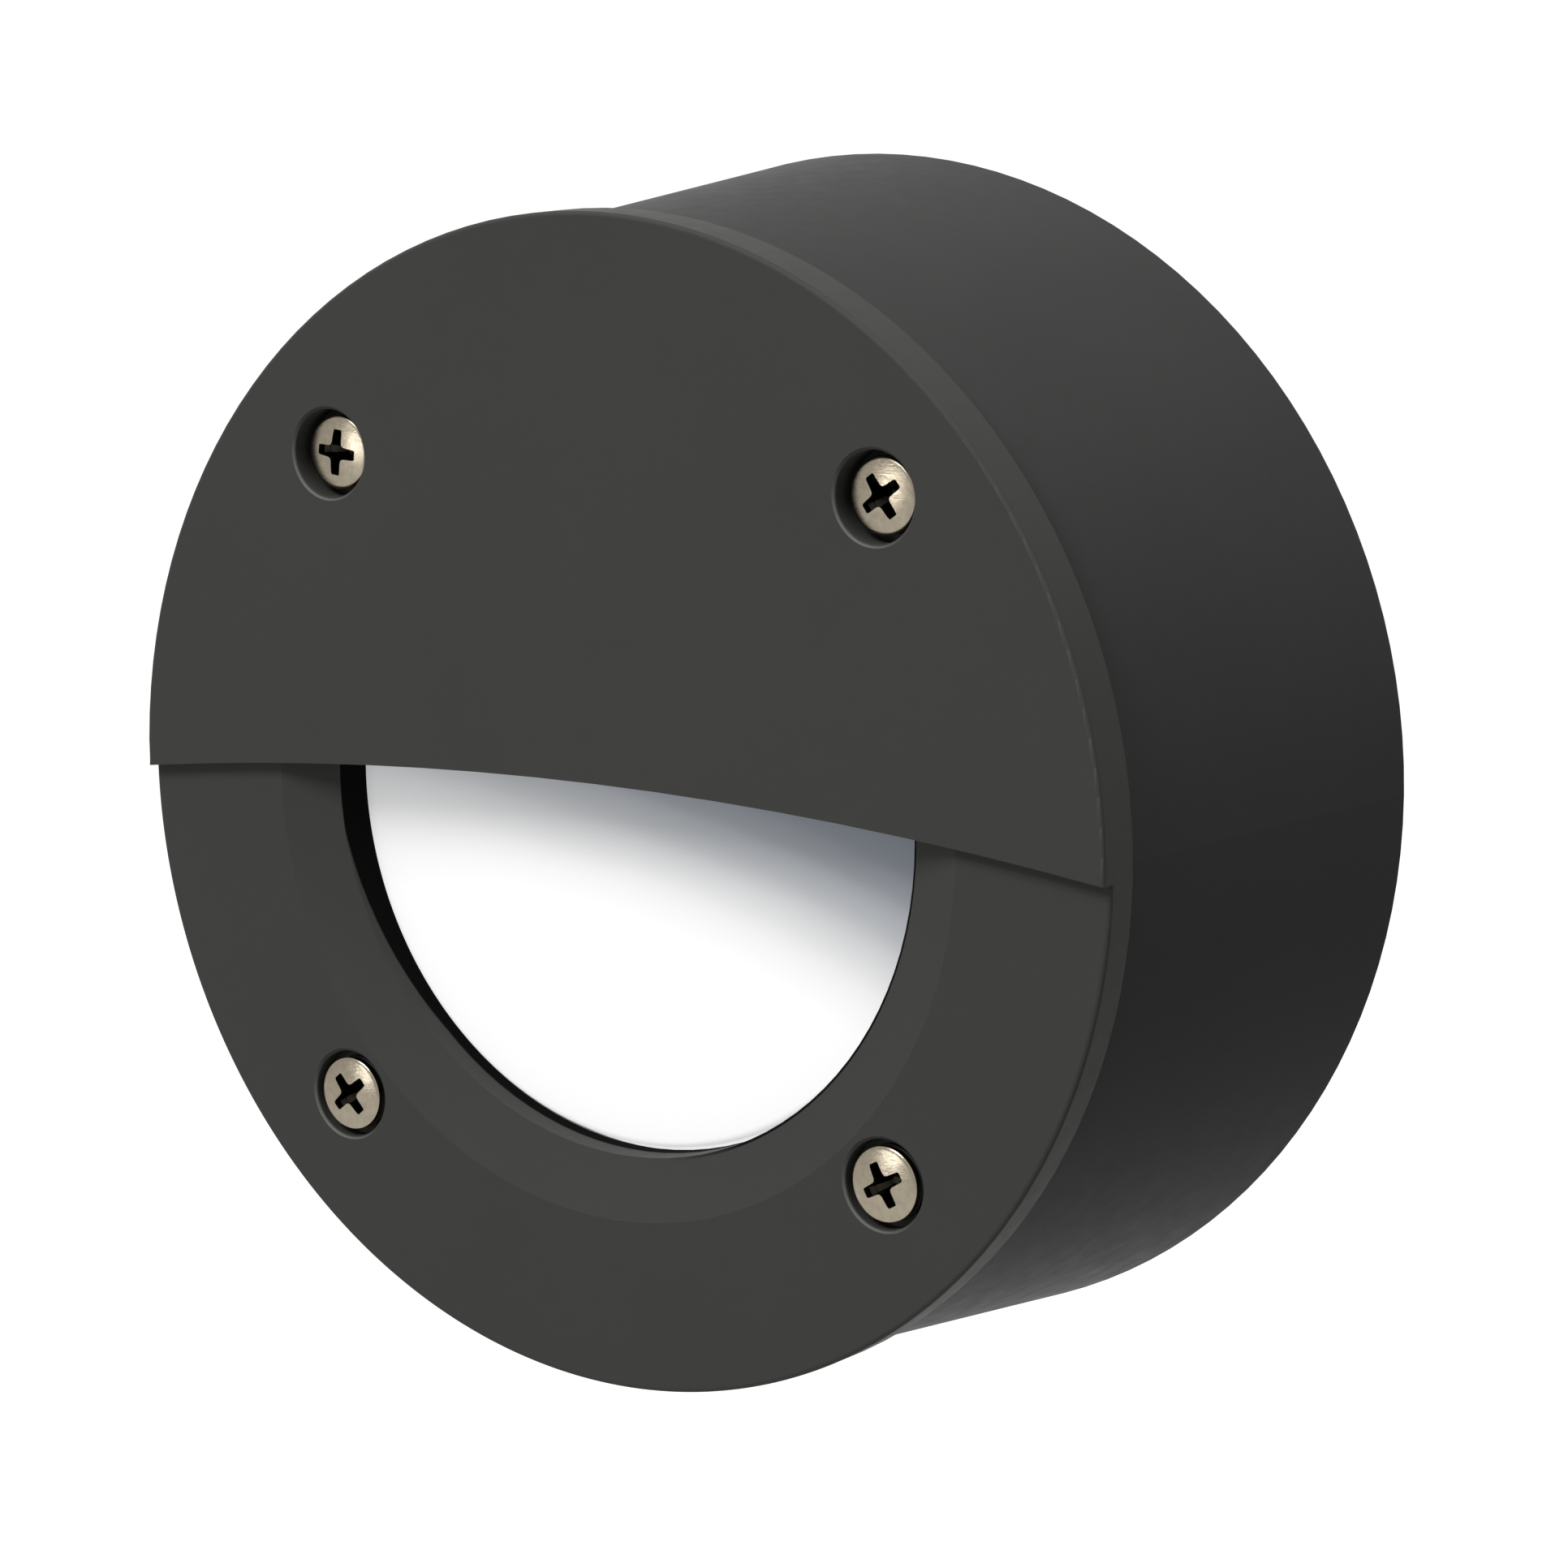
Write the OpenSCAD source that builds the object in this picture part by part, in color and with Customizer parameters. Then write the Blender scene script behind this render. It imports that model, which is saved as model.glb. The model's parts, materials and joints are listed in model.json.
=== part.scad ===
// Round wall light: a tapered drum, and a face plate whose upper half is a visor over the lens.
// Seen from the front, x is to the right and z is up. The wall is the plane y = 0 and the
// light stands out of it towards -y. Each piece is drawn lying on the wall, with its own z
// pointing away from the wall, and stand() turns it upright.

/* [Drum] */
// Diameter of the drum where it meets the wall
drum_back_d = 131; // [128:0.5:136]
// How much smaller the drum's radius is at its front rim than at the wall
drum_taper = 4.5; // [4.1:0.1:4.8]
// Thickness of the drum's side wall
drum_wall = 3; // [2:0.1:3.6]
// Thickness of the plate at the back of the drum
back_plate = 3; // [2.6:0.1:4]
// Flat broken off the drum's outer edge at the wall
drum_edge = 0.8; // [0.4:0.1:1.2]
// Radial width of the thick collar that carries the face plate
collar_w = 5; // [4.8:0.1:5.2]
// Height of the collar along the drum
collar_h = 7.6; // [6:0.2:10]

/* [Face plate] */
// How far the face plate stands out over the drum's front rim
cover_lip = 1.5; // [1.2:0.1:2]
// Height of the face plate's side band
cover_band = 5.4; // [5.2:0.1:5.8]
// Width of the rim that sits on the drum
cover_rim_w = 6.5; // [6:0.1:6.8]
// Thickness of the face plate
cover_plate = 3; // [2.4:0.1:3.2]
// Rounding of the face plate's outer edge
cover_edge = 0.5; // [0.3:0.1:1]
// How far the visor stands in front of the lower half
visor_step = 1.4; // [1.2:0.1:1.8]
// Height of the visor's lower edge above the middle of the light
visor_crown = 2.9; // [1:0.1:6]
// How far the visor's lower edge falls from its crown to the rim
visor_drop = 4.1; // [3:0.1:7]
// Wall that closes the step behind the visor's lower edge
step_wall = 2.4; // [1.8:0.1:3]
// Radial ribs on the back of the face plate
plate_rib_count = 8; // [4:4:8]
// Thickness of those ribs
plate_rib_w = 1.8; // [1.2:0.1:2.4]

/* [Opening and lens] */
// Width of the face plate from its edge to the opening
face_margin = 24.8; // [24.4:0.1:25.2]
// Width of the sloping dish round the opening
dish_w = 6.5; // [5.5:0.1:7.5]
// Depth of the dish
dish_depth = 2.4; // [1.6:0.1:2.6]
// Distance from the front of the visor back to the lens
lens_depth = 7.2; // [7:0.1:9.4]
// How far the middle of the lens stands in front of its flange
lens_rise = 1.9; // [1.4:0.1:2.4]
// Rounding of the lens's front edge
lens_edge = 0.8; // [0.4:0.1:1.2]
// Thickness of the lens and its flange
lens_t = 2; // [1.6:0.1:2.2]
// Width of the flange that the lens is held by
lens_flange_w = 3; // [2.8:0.1:3]
// Wall round the lens flange
lens_wall = 2.4; // [2:0.1:2.6]
// Thickness of the flat seal in front of the lens flange
lens_seal_t = 1; // [0.8:0.1:1.4]
// Thickness of the ring that holds the lens
lens_ring_t = 1.8; // [1.4:0.1:2]
// How far the ring's screws stand outside the lens flange
ring_screw_out = 6.7; // [6.5:0.1:7.2]
// Radius of the posts for the ring's screws, and of the ears on the ring
ring_post_r = 3.4; // [3.2:0.1:3.6]

/* [Face screws] */
// How far the face screws stand inside the face plate's edge
screw_inset = 12.5; // [12.3:0.1:12.7]
// Thread diameter of a face screw
screw_d = 4; // [3.8:0.1:4.2]
// Length of a face screw under its head
screw_length = 12; // [10:0.5:14]
// Diameter of a face screw's head
head_d = 8; // [7.6:0.1:8.4]
// Height of a face screw's head
head_h = 2.4; // [2.3:0.1:2.6]
// How far the top of the heads lies behind the front of the visor
head_sink = 0.2; // [0.2:0.1:0.5]
// Diameter of the wells in which the heads sit
well_d = 9.6; // [9.2:0.1:10]
// Flat broken off the mouth of a well
well_edge = 0.3; // [0.1:0.1:0.5]
// Thickness of the sealing washer under a head
washer_t = 1; // [0.8:0.1:1.2]
// Width across the cross recess in a head
recess_w = 4.6; // [4.2:0.1:5]
// Width of one wing of the cross recess
recess_wing = 1.15; // [0.9:0.05:1.3]
// Depth of the wings
recess_depth = 1.4; // [1:0.1:1.6]
// Depth of the recess at its middle
recess_middle = 2.2; // [1.8:0.1:2.3]

/* [Lampholder and lamp] */
// How much smaller the lamp's radius is than the opening's
lamp_inset = 0.2; // [0.2:0.1:1]
// Height of the lamp in front of its lampholder
lamp_h = 13.5; // [13:0.1:15]
// Gap between the front of the lamp and the lens ring's plane
lamp_gap = 4.9; // [3.4:0.1:6]
// How far the lamp's pins stand inside its edge
pin_inset = 11; // [10.8:0.1:11.4]
// How much smaller the lampholder's radius is than the lamp's
holder_inset = 0.5; // [0:0.1:1]
// Height of the posts that carry the lampholder
holder_post_h = 9; // [8:0.1:9.2]
// Thickness of the lampholder's back plate
holder_base_t = 2.5; // [2:0.1:3]
// Thickness of the lampholder's body
holder_body_t = 11.5; // [11:0.1:12]
// How far the edge of the hole for the lamp's hub stands inside the pins
holder_hole_inset = 6; // [5:0.1:6.4]
// Angle through which the lamp turns from free to locked
lock_angle = 15; // [12:1:18]

/* [Terminal block] */
// How far the terminal block lies to the right of the middle
block_right = 9; // [8.4:0.1:9.6]
// How far the middle of the terminal block lies inside the drum's edge at the wall
block_inset = 16.5; // [16.2:0.1:16.8]
// Length of the terminal block
block_l = 20; // [19:0.5:20]
// Width of the terminal block over both poles
block_w = 15.4; // [15.2:0.1:15.6]
// Distance between the two poles
pole_pitch = 8; // [7.8:0.1:8.2]
// Outer diameter of a lead between the block and the lampholder
lead_d = 2.2; // [1.8:0.1:2.4]

/* [Wall and cable] */
// How far the middle of a slot for a wall screw lies inside the drum's edge
slot_inset = 19.5; // [19:0.1:20]
// Length of a slot over its round ends
slot_length = 12; // [9:0.5:12]
// Width of a slot
slot_w = 5.2; // [4.4:0.1:5.6]
// Height of the pad round a slot
slot_pad_h = 1.5; // [1:0.1:2]
// How far the cable entry lies inside the drum's edge
entry_inset = 18.5; // [18.2:0.1:19]
// Angle by which the cable entry lies to the left of straight down
entry_turn = 20; // [19:0.5:22]
// Diameter of the cable hole in the grommet
cable_d = 7; // [5:0.2:7.4]
// Diameter of the hole in the back plate that takes the grommet
entry_d = 15; // [14:0.2:15.4]

/* [Hidden] */
$fn = 96;
// Facets of the very wide arc of the visor's edge
wide_arc_facets = 900;

// Overrun of every cut past the surface that it goes through
cut = 1;
// How far a rib or post is rooted in the piece that carries it
root = 0.6;

// Clearance of a seated piece in its pocket
fit_gap = 0.1;
// Clearance of a shank in its thread
thread_gap = 0.06;
// Clearance round a shank in a plain hole
shank_gap = 0.3;
// Gap left between the screw posts of the drum and of the face plate
post_gap = 0.3;

// Gap between the lampholder and the body of the lamp
lamp_seat_gap = 0.5;

// Heights above the wall, from the back plate forwards
holder_back = back_plate + holder_post_h;
holder_split = holder_back + holder_base_t;
holder_front = holder_split + holder_body_t;
lamp_back = holder_front + lamp_seat_gap;
lamp_front = lamp_back + lamp_h;
lens_back = lamp_front + lamp_gap;
lens_flange_front = lens_back + lens_t;
lens_front = lens_flange_front + lens_rise;
light_depth = lens_front + lens_depth;
lens_seat = lens_flange_front + lens_seal_t;
joint_z = light_depth - cover_band;
low_face = light_depth - visor_step;
head_top = light_depth - head_sink;
head_seat = head_top - head_h;
well_floor = head_seat - washer_t;
screw_tip = head_seat - screw_length;

// Drum
drum_back_r = drum_back_d / 2;
drum_front_r = drum_back_r - drum_taper;
drum_lean = (drum_back_r - drum_front_r) / joint_z;
collar_r = drum_front_r - collar_w;
collar_foot = joint_z - collar_h;
collar_lead = collar_w - drum_wall;
function drum_r(z) = drum_back_r - drum_lean * z;

// Gasket between drum and face plate, and the tongue that presses it
gasket_r = drum_front_r - collar_w / 2;
gasket_w = 2.2;
gasket_groove_h = 2.4;
tongue_w = 1.2;
tongue_h = 0.9;

// Foam ring between drum and wall
foam_inset = 4.9;
foam_r = drum_back_r - foam_inset;
foam_w = 4;
foam_h = 1.5;

// Face plate
cover_r = drum_front_r + cover_lip;
rim_r = cover_r - cover_rim_w;
opening_r = cover_r - face_margin;
dish_r = opening_r + dish_w;
lens_flange_r = opening_r + lens_flange_w;
lens_pocket_r = lens_flange_r + shank_gap;
lens_wall_r = lens_pocket_r + lens_wall;
visor_arc_r = (cover_r * cover_r + visor_drop * visor_drop) / (2 * visor_drop);

// Posts for the face screws
screw_place_r = cover_r - screw_inset;
screw_r = screw_d / 2;
well_r = well_d / 2;
shank_hole_r = screw_r + shank_gap;
cover_post_r = 5.6;
cover_post_floor = 2.8;
cover_post_end = well_floor - cover_post_floor;
well_wall = 2.2;
drum_post_r = 5.2;
drum_post_top = cover_post_end - post_gap;
drum_rib_w = 2.4;
drum_rib_top = collar_foot;
insert_r = 2.8;
insert_h = 8;
insert_groove_w = 1.2;
insert_groove_d = 0.5;
tip_hole_r = 2.5;
tip_room = 3;

// For each screw the angle of its post seen from the front, the front that its well opens
// in, and the turn of the recess in its head
screw_angles = [135, 45, 225, 315];
well_fronts = [light_depth, light_depth, low_face, low_face];
recess_turns = [-6, 36, 41, 29];

// Lens and ring
lens_plateau_r = opening_r - shank_gap;
lens_wall_t = 2.2;
cover_depth = light_depth - lens_back;
rib_gap = 0.6;
washer_w = 2;
washer_edge = 0.2;
recess_tip_r = 0.5;
screw_tip_edge = 0.5;
ring_hole_r = opening_r;
ring_place_r = lens_flange_r + ring_screw_out;
ring_screw_r = 1.45;
ring_screw_l = 7;
ring_head_r = 2.7;
ring_head_h = 1.7;

// Lampholder
lamp_r = opening_r - lamp_inset;
pin_r = lamp_r - pin_inset;
holder_r = lamp_r - holder_inset;
holder_hole_r = pin_r - holder_hole_inset;
holder_edge = 1;
holder_post_r = 4.4;
holder_post_inset = 7.5;
holder_place_r = holder_r - holder_post_inset;
holder_screw_r = 1.75;
holder_screw_l = 12;
holder_head_r = 3.4;
holder_head_h = 2.4;
holder_sink = 8.5;
holder_head_seat = holder_front - holder_sink;
slot_plate_t = 2;
slot_neck_w = 3.6;
slot_room_w = 6.2;
slot_room_h = 6;
slot_floor = holder_front - slot_plate_t - slot_room_h;
contact_t = 0.5;
contact_w = 3.6;
contact_l = 10;
leaf_share = 0.85;
cross_share = 0.55;

// Lamp
lamp_taper = 1.3;
lamp_taper_h = 4.5;
lamp_rim = 1.8;
lamp_face = lamp_front - lamp_rim;
lamp_hub_gap = 1.5;
lamp_hub_r = holder_hole_r - lamp_hub_gap;
lamp_hub_h = 10;
lamp_hub_edge = 1.2;
lamp_wall = 2.3;
lamp_pocket_r = lamp_r - lamp_wall;
lamp_pocket_h = 2;
lamp_grip_count = 24;
lamp_grip_r = 1.6;
lamp_grip_bite = 0.7;
pin_neck_r = 1.3;
pin_head_r = 2.4;
pin_head_h = 2.6;
pin_head_gap = 0.4;
pin_root_h = 3;
pin_edge = 0.4;
pin_head_foot = holder_front - slot_plate_t - pin_head_gap - pin_head_h;
contact_rise = pin_head_foot - post_gap - slot_floor;
board_t = 1.5;
chip_count = 12;
chip_w = 3;
chip_t = 0.4;
chip_ring_share = 0.625;
chip_ring_r = lamp_pocket_r * chip_ring_share;
board_top = lamp_face - lamp_pocket_h + board_t;
lamp_cover_t = 1;
lamp_cover_inset = 0.6;
lamp_cover_r = lamp_r - lamp_cover_inset;
lamp_cover_edge = 1.2;
lamp_cover_lip = 2.9;

// Terminal block
block_down = drum_back_r - block_inset;
pad_h = 4;
block_foot_h = 2;
pole_r = 3.6;
pole_rise = 4.6;
pole_z = back_plate + pad_h + pole_rise;
tower_r = 2.7;
tower_rise = 6.4;
tower_top = pole_z + tower_rise;
tower_pitch = 10;
clamp_r = 2.1;
clamp_bore_r = 1.3;
clamp_l = 15;
clamp_screw_r = 1.1;
clamp_head_r = 1.7;
clamp_head_h = 1.6;
clamp_head_sink = 1.2;
clamp_hole_r = 1.9;
driver_slot_w = 0.6;
driver_slot_h = 0.7;
fixing_screw_r = 1.2;
fixing_screw_l = 10;
fixing_head_r = 2;
fixing_head_h = 1.5;
fixing_core = 0.3;
fixing_rise = 3;
fixing_seat = pole_z + fixing_rise;
clamp_tip = pole_z;

// Leads from the block to the lampholder
lead_r = lead_d / 2;
lead_sides = 8;
lead_rings = 20;
lead_hole_r = lead_r + shank_gap / 2;
lead_grip = 2.5;
lead_entry_z = holder_split + lead_grip;
lead_angles = [-67, -57];
lead_out = [9, 13];
lead_in = [8, 13];

// Wall slots
slot_place_r = drum_back_r - slot_inset;
slot_pad_w = 2;

// Cable entry
entry_place_r = drum_back_r - entry_inset;
entry_r = entry_d / 2;
cable_r = cable_d / 2;
grommet_lip = 1.9;
grommet_lip_h = 1.2;
grommet_nose_h = 4.6;
grommet_nose_w = 1.4;
grommet_mouth_w = 2;
grommet_wall_h = 3;

// Turns a piece from lying on the wall to its place on the upright light
module stand() {
    rotate([90, 0, 0]) children();
}

// A straight tube between two heights
module tube(outer, inner, from, to) {
    difference() {
        translate([0, 0, from]) cylinder(r = outer, h = to - from);
        translate([0, 0, from - cut]) cylinder(r = inner, h = to - from + 2 * cut);
    }
}

// A post between two heights
module post(radius, from, to) {
    translate([0, 0, from]) cylinder(r = radius, h = to - from);
}

// The place of one face screw
module at_screw(i) {
    rotate(screw_angles[i]) translate([screw_place_r, 0, 0]) children();
}

module at_screws() {
    for (i = [0 : len(screw_angles) - 1]) at_screw(i) children();
}

// The four places of the ring's screws
module at_ring_screws() {
    for (turn = [0 : 90 : 270]) rotate(turn) translate([ring_place_r, 0, 0]) children();
}

// The two places of the lampholder's screws
module at_holder_screws() {
    for (side = [-1, 1]) translate([0, side * holder_place_r, 0]) children();
}

// Half section of a disc whose upper edge is rounded
module disc_outline(radius, height, rounding) {
    difference() {
        square([radius, height]);
        translate([radius - rounding, height - rounding]) corner_outline(rounding);
    }
}

// What a rounding takes away from a square corner
module corner_outline(rounding) {
    difference() {
        square(rounding + cut);
        circle(r = rounding);
    }
}

// A pan head with its flat under side at height zero
module pan_head(radius, height) {
    edge_share = 0.42;
    crown = height * (1 - edge_share);
    arc_r = (radius * radius + crown * crown) / (2 * crown);
    rotate_extrude() {
        square([radius, height * edge_share]);
        translate([0, height * edge_share]) intersection() {
            translate([0, crown - arc_r]) circle(r = arc_r, $fn = 2 * $fn);
            square([radius, crown]);
        }
    }
}

// A slot with round ends along x
module slot_outline(length, width) {
    square([length - width, width], center = true);
    for (side = [-1, 1]) translate([side * (length - width) / 2, 0]) circle(d = width);
}

// Drum: outline of the shell
module drum_outline() {
    polygon([
        [0, 0],
        [drum_back_r - drum_edge, 0],
        [drum_r(drum_edge), drum_edge],
        [drum_front_r, joint_z],
        [collar_r, joint_z],
        [collar_r, collar_foot],
        [drum_r(collar_foot - collar_lead) - drum_wall, collar_foot - collar_lead],
        [drum_r(back_plate) - drum_wall, back_plate],
        [0, back_plate]
    ]);
}

// Place of the two wall slots
module at_slots() {
    for (side = [-1, 1]) translate([side * slot_place_r, 0, 0]) children();
}

module at_entry() {
    rotate(-entry_turn) translate([0, -entry_place_r, 0]) children();
}

// Rib from a screw post out to the drum's wall
module drum_rib() {
    translate([screw_place_r, -drum_rib_w / 2, back_plate - root])
        cube([drum_front_r - drum_wall / 2 - screw_place_r, drum_rib_w, drum_rib_top - back_plate + root]);
}

module housing() color("#3a3b3b") stand() difference() {
    union() {
        rotate_extrude() drum_outline();
        at_screws() post(drum_post_r, back_plate - root, drum_post_top);
        for (angle = screw_angles) rotate(angle) drum_rib();
        at_holder_screws() post(holder_post_r, back_plate - root, holder_back);
        at_slots() translate([0, 0, back_plate - root]) linear_extrude(slot_pad_h + root)
            slot_outline(slot_length + 2 * slot_pad_w, slot_w + 2 * slot_pad_w);
        translate([block_right - block_l / 2, -block_down - block_w / 2, back_plate - root])
            cube([block_l, block_w, pad_h + root]);
    }
    tube(gasket_r + gasket_w / 2 + fit_gap, gasket_r - gasket_w / 2 - fit_gap,
        joint_z - gasket_groove_h, joint_z + cut);
    tube(foam_r + foam_w / 2 + fit_gap, foam_r - foam_w / 2 - fit_gap, -cut, foam_h);
    at_screws() {
        post(insert_r + fit_gap / 2, drum_post_top - insert_h, drum_post_top + cut);
        post(tip_hole_r, screw_tip - tip_room, drum_post_top + cut);
    }
    at_holder_screws() post(holder_screw_r + thread_gap, holder_head_seat - holder_screw_l - fit_gap,
        holder_back + cut);
    at_slots() translate([0, 0, -cut]) linear_extrude(back_plate + slot_pad_h + 2 * cut)
        slot_outline(slot_length, slot_w);
    translate([block_right, -block_down, 0])
        post(fixing_screw_r + thread_gap, fixing_seat - fixing_screw_l - fit_gap,
            back_plate + pad_h + cut);
    at_entry() {
        post(entry_r + fit_gap / 2, -cut, back_plate + cut);
        post(entry_r + grommet_lip + shank_gap, -cut, grommet_lip_h);
    }
}

module wall_gasket() color("#242424") stand()
    tube(foam_r + foam_w / 2, foam_r - foam_w / 2, 0, foam_h);

module cable_grommet() color("#1c1c1c") stand() at_entry() rotate_extrude() {
    nose_base = back_plate + grommet_lip_h;
    nose_end = nose_base + grommet_nose_h;
    polygon([
        [cable_r + grommet_mouth_w, 0],
        [entry_r + grommet_lip, 0],
        [entry_r + grommet_lip, grommet_lip_h],
        [entry_r, grommet_lip_h],
        [entry_r, back_plate],
        [entry_r + grommet_lip, back_plate],
        [entry_r + grommet_lip, nose_base],
        [entry_r - fit_gap, nose_base],
        [cable_r + grommet_nose_w, nose_end],
        [cable_r, nose_end],
        [cable_r, nose_end - grommet_wall_h],
        [cable_r + grommet_mouth_w, nose_end - grommet_wall_h - grommet_mouth_w / 2]
    ]);
}

module threaded_inserts() color("#b58b3a") stand() at_screws() rotate_extrude() {
    foot = drum_post_top - insert_h;
    groove_foot = drum_post_top - insert_h / 2 - insert_groove_w / 2;
    polygon([
        [screw_r + thread_gap, foot],
        [insert_r - insert_groove_d, foot],
        [insert_r, foot + insert_groove_d],
        [insert_r, groove_foot],
        [insert_r - insert_groove_d, groove_foot],
        [insert_r - insert_groove_d, groove_foot + insert_groove_w],
        [insert_r, groove_foot + insert_groove_w],
        [insert_r, drum_post_top],
        [screw_r + thread_gap, drum_post_top]
    ]);
}

module cover_gasket() color("#4a4a4a") stand()
    tube(gasket_r + gasket_w / 2, gasket_r - gasket_w / 2, joint_z - gasket_groove_h, joint_z - tongue_h);

// Places of the clamp screws over the two poles
module at_poles() {
    for (side = [-1, 1]) translate([block_right, side * pole_pitch / 2 - block_down, 0]) children();
}

module at_clamp_screws() {
    at_poles() for (side = [-1, 1]) translate([side * tower_pitch / 2, 0, 0]) children();
}

// A round bar along x through the place of a pole
module pole_bar(radius, length) {
    translate([-length / 2, 0, pole_z]) rotate([0, 90, 0]) cylinder(r = radius, h = length);
}

module terminal_block() color("#e8e6df") stand() difference() {
    union() {
        translate([block_right - block_l / 2, -block_down - block_w / 2, back_plate + pad_h])
            cube([block_l, block_w, block_foot_h]);
        translate([block_right - block_l / 2, -block_down - pole_pitch / 2, back_plate + pad_h])
            cube([block_l, pole_pitch, fixing_seat - back_plate - pad_h]);
        at_poles() pole_bar(pole_r, block_l);
        at_clamp_screws() post(tower_r, pole_z, tower_top);
    }
    at_poles() {
        pole_bar(clamp_r + fit_gap / 2, clamp_l);
        pole_bar(lead_hole_r, block_l + 2 * cut);
    }
    at_clamp_screws() post(clamp_hole_r, pole_z, tower_top + cut);
    translate([block_right, -block_down, 0]) {
        post(fixing_screw_r + shank_gap, back_plate, fixing_seat + cut);
        post(fixing_head_r + shank_gap, fixing_seat, tower_top + cut);
    }
}

module terminal_clamps() color("#c9a24b") stand() difference() {
    at_poles() pole_bar(clamp_r, clamp_l);
    at_poles() pole_bar(clamp_bore_r, clamp_l + 2 * cut);
    at_clamp_screws() post(clamp_screw_r + thread_gap, pole_z, pole_z + clamp_r + cut);
}

module terminal_screws() color("#b9bcc0") stand() at_clamp_screws() difference() {
    union() {
        post(clamp_screw_r, clamp_tip, tower_top - clamp_head_sink - clamp_head_h + root);
        post(clamp_head_r, tower_top - clamp_head_sink - clamp_head_h, tower_top - clamp_head_sink);
    }
    translate([-clamp_head_r - cut, -driver_slot_w / 2, tower_top - clamp_head_sink - driver_slot_h])
        cube([2 * (clamp_head_r + cut), driver_slot_w, driver_slot_h + cut]);
}

module terminal_fixing_screw() color("#b9bcc0") stand() translate([block_right, -block_down, fixing_seat]) {
    post(fixing_screw_r, -fixing_screw_l, fixing_core);
    crossed_head(fixing_head_r, fixing_head_h);
}

module lampholder_base() color("#f0eee8") stand() difference() {
    tube(holder_r, holder_hole_r, holder_back, holder_split);
    at_holder_screws() post(holder_screw_r + shank_gap, holder_back - cut, holder_split + cut);
}

// An arc-shaped slot on the pin circle, with a round end at the locked place of the pin
module pin_slot(width, from, to) {
    for (side = [0, 180]) rotate(side) {
        rotate_extrude(angle = lock_angle) translate([pin_r - width / 2, from]) square([width, to - from]);
        translate([pin_r, 0, 0]) post(width / 2 + fit_gap, from, to);
    }
}

module lampholder_body() color("#f4f2ec") stand() difference() {
    rotate_extrude() polygon([
        [holder_hole_r, holder_split],
        [holder_r, holder_split],
        [holder_r, holder_front - holder_edge],
        [holder_r - holder_edge, holder_front],
        [holder_hole_r + holder_edge, holder_front],
        [holder_hole_r, holder_front - holder_edge]
    ]);
    pin_slot(slot_neck_w, holder_front - slot_plate_t - cut, holder_front + cut);
    pin_slot(slot_room_w, holder_front - slot_plate_t - slot_room_h, holder_front - slot_plate_t);
    for (side = [0, 180]) rotate(side + lock_angle) translate([pin_r, 0, 0])
        post(slot_room_w / 2 + fit_gap, slot_floor, holder_front + cut);
    at_holder_screws() {
        post(holder_screw_r + shank_gap, holder_split - cut, holder_front + cut);
        post(holder_head_r + shank_gap, holder_front - holder_sink, holder_front + cut);
    }
    for (angle = lead_angles) rotate(angle)
        translate([holder_r - lead_grip, 0, lead_entry_z]) rotate([0, 90, 0])
            cylinder(r = lead_hole_r, h = lead_grip + cut);
}

// A spring leaf folded back on itself under each locked pin
module lampholder_contacts() color("#c98f4e") stand() for (side = [0, 180])
    rotate(side + lock_angle / 2) translate([pin_r, -contact_l / 2, slot_floor])
        rotate([90, 0, 90]) linear_extrude(contact_w, center = true) polygon([
            [0, 0],
            [contact_l, 0],
            [contact_l, contact_t],
            [contact_t, contact_t],
            [contact_t, contact_rise - contact_t],
            [contact_l * leaf_share, contact_rise - contact_t],
            [contact_l * leaf_share, contact_rise],
            [0, contact_rise]
        ]);

module lampholder_screws() color("#b9bcc0") stand() at_holder_screws() {
    post(holder_screw_r, holder_head_seat - holder_screw_l, holder_head_seat + root);
    translate([0, 0, holder_head_seat]) crossed_head(holder_head_r, holder_head_h);
}

// A pan head with a plain crossed slot in it
module crossed_head(radius, height) {
    difference() {
        pan_head(radius, height);
        for (turn = [0, 90]) rotate(turn)
            translate([-radius * cross_share, -driver_slot_w / 2, height - driver_slot_h])
                cube([2 * radius * cross_share, driver_slot_w, driver_slot_h + cut]);
    }
}

// Leads: a smooth curve out of the terminal block and into the side of the lampholder
function unit(v) = v / norm(v);
function polar(radius, angle, z) = [radius * cos(angle), radius * sin(angle), z];
function curve(a, b, c, d, t) = a * pow(1 - t, 3) + b * 3 * t * pow(1 - t, 2)
    + c * 3 * pow(t, 2) * (1 - t) + d * pow(t, 3);
function lead_start(row) = [block_right + block_l / 2, row * pole_pitch / 2 - block_down, pole_z];
function lead_path(i, row) =
    let (
        a = lead_start(row),
        b = a + [lead_out[i], 0, 0],
        c = polar(holder_r + lead_in[i], lead_angles[i], lead_entry_z),
        d = polar(holder_r, lead_angles[i], lead_entry_z)
    )
    concat(
        [[block_right + clamp_l / 2, a[1], pole_z]],
        [for (n = [0 : lead_rings]) curve(a, b, c, d, n / lead_rings)],
        [polar(holder_r - lead_grip, lead_angles[i], lead_entry_z)]
    );
function path_direction(path, n) =
    unit(path[min(n + 1, len(path) - 1)] - path[max(n - 1, 0)]);
function ring_points(middle, direction, radius) =
    let (
        side = unit(cross(direction, [0, 0, 1])),
        up = cross(side, direction)
    )
    [for (k = [0 : lead_sides - 1])
        middle + radius * (cos(360 * k / lead_sides) * side + sin(360 * k / lead_sides) * up)];

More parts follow.
